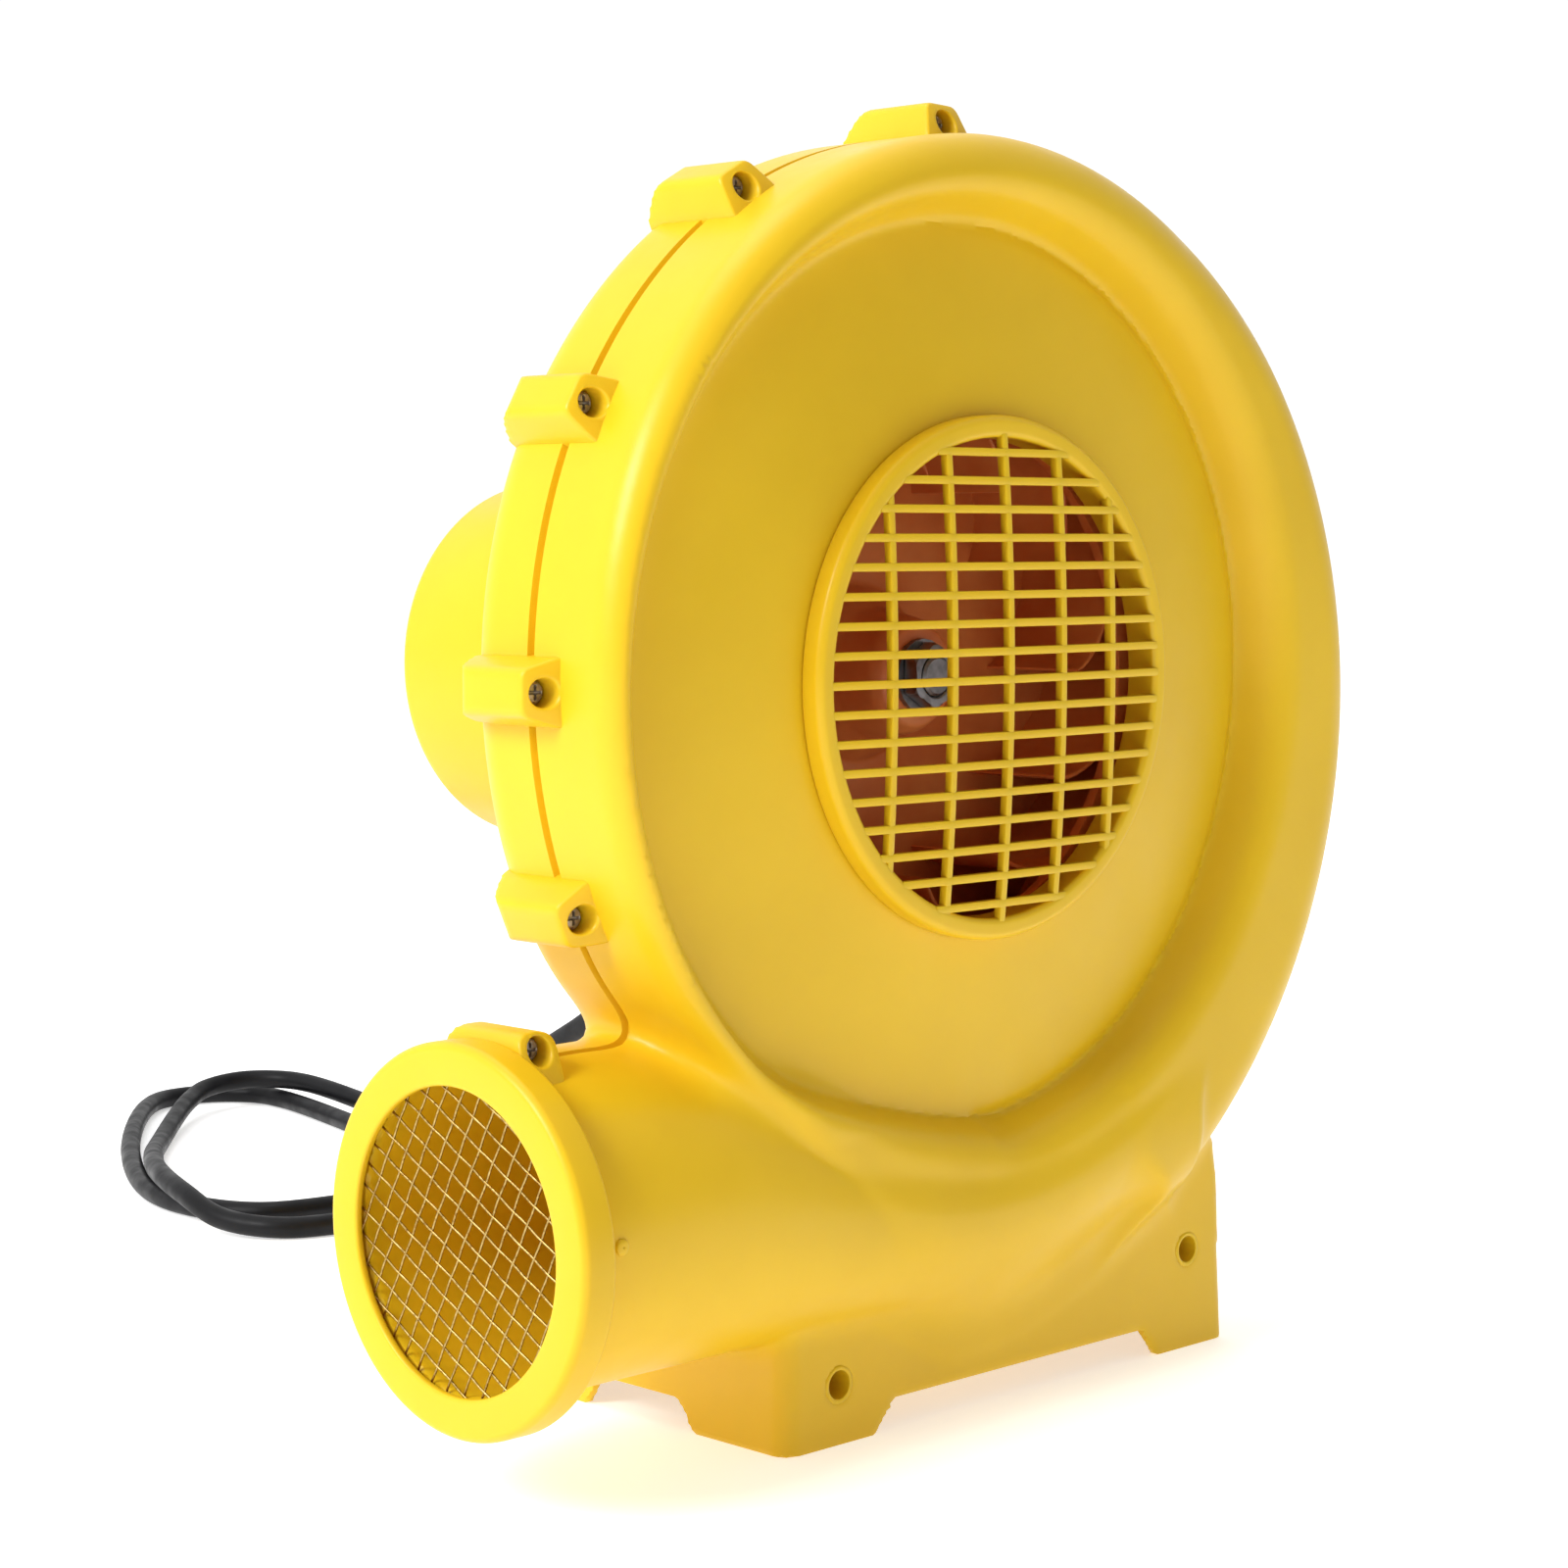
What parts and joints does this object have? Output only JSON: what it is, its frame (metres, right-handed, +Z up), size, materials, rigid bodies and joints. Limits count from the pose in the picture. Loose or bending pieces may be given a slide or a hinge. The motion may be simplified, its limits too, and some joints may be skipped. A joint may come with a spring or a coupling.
{
  "type": "centrifugal blower",
  "caption": "Centrifugal blower: split scroll casing on a skirted base, round outlet duct with screen, front intake grille, bladed wheel, rear motor in a round cover, cord and plug.",
  "frame": {"origin": "on the floor, at the middle of the box around the machine without its cord and plug", "axes": "+Z up; +Y from the intake face towards the motor; the outlet points along -X"},
  "size_m": [0.3649, 0.6398, 0.391],
  "materials": {
    "shell": "satin yellow moulding",
    "wheel": "satin",
    "zinc": "zinc plated",
    "steel": "turned",
    "casting": "die cast",
    "lamination": "stacked sheet steel",
    "copper": "varnished winding wire",
    "brass": "bare",
    "dark_plastic": "matte",
    "can": "matte",
    "rubber": "matte black"
  },
  "bodies": {
    "casing": {"front_shell": "shell", "rear_shell": "shell", "intake_grille": "shell", "outlet_ring": "shell", "outlet_screen": "zinc", "motor_cover": "shell", "case_screw_1": "zinc", "case_screw_2": "zinc", "case_screw_3": "zinc", "case_screw_4": "zinc", "case_screw_5": "zinc", "case_screw_6": "zinc", "case_screw_7": "zinc", "case_screw_8": "zinc", "case_screw_9": "zinc", "case_screw_10": "zinc", "base_screw_1": "zinc", "base_screw_2": "zinc", "cover_screw_1": "zinc", "cover_screw_2": "zinc", "cover_screw_3": "zinc", "motor_bolt_1": "zinc", "motor_bolt_2": "zinc", "motor_bolt_3": "zinc", "motor_bolt_4": "zinc", "front_bearing": "steel", "rear_bearing": "steel", "motor_front_bell": "casting", "motor_rear_bell": "casting", "stator_core": "lamination", "front_winding": "copper", "rear_winding": "copper", "run_capacitor": "can", "capacitor_clip": "steel", "motor_lead": "rubber", "cord_strain_relief": "rubber", "power_cord": "rubber", "plug_body": "rubber", "plug_blade_1": "brass", "plug_blade_2": "brass", "plug_earth_pin": "brass"},
    "rotor": {"motor_shaft": "steel", "impeller": "wheel", "impeller_shroud": "wheel", "impeller_washer": "steel", "impeller_nut": "steel", "rotor_core": "lamination", "cooling_fan": "dark_plastic"}
  },
  "joints": [
    {"name": "impeller_spin", "type": "hinge", "parent": "casing", "child": "rotor", "pos_m": [-0.0114, -0.0568, 0.222], "axis": [0, 1, 0], "continuous": true}
  ]
}
